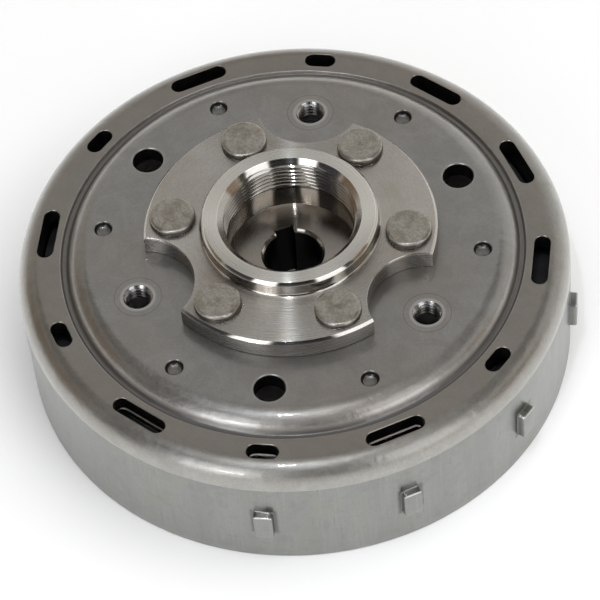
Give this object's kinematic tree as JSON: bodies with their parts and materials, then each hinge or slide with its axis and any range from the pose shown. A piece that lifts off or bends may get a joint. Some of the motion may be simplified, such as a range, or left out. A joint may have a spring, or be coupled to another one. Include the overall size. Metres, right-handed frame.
{
  "type": "flywheel",
  "caption": "Engine flywheel rotor: drawn steel cup with slotted crown and raised disc, riveted to a scalloped machined hub with taper bore, magnets inside",
  "frame": {"origin": "on the axis of rotation, in the plane of the cup's open edge, so the part stands on z = 0 with its closed side up", "axes": "+Z along the axis of rotation from the open edge to the closed side with the hub boss; +Y through the first tapped hole; +X completes a right-handed frame"},
  "size_m": [0.1585, 0.1606, 0.0536],
  "materials": {
    "drawn_steel": "satin",
    "turned_steel": "satin",
    "rivet_steel": "satin",
    "magnet": "satin",
    "cage_nylon": "matte",
    "stainless": "satin"
  },
  "bodies": {
    "root": {"rotor_shell": "drawn_steel", "hub": "turned_steel", "rivet_1": "rivet_steel", "rivet_2": "rivet_steel", "rivet_3": "rivet_steel", "rivet_4": "rivet_steel", "rivet_5": "rivet_steel", "rivet_6": "rivet_steel", "magnet_1": "magnet", "magnet_2": "magnet", "magnet_3": "magnet", "magnet_4": "magnet", "magnet_5": "magnet", "magnet_6": "magnet", "magnet_7": "magnet", "magnet_8": "magnet", "magnet_9": "magnet", "magnet_10": "magnet", "magnet_11": "magnet", "magnet_12": "magnet", "magnet_cage": "cage_nylon", "magnet_sleeve": "stainless"}
  },
  "joints": []
}
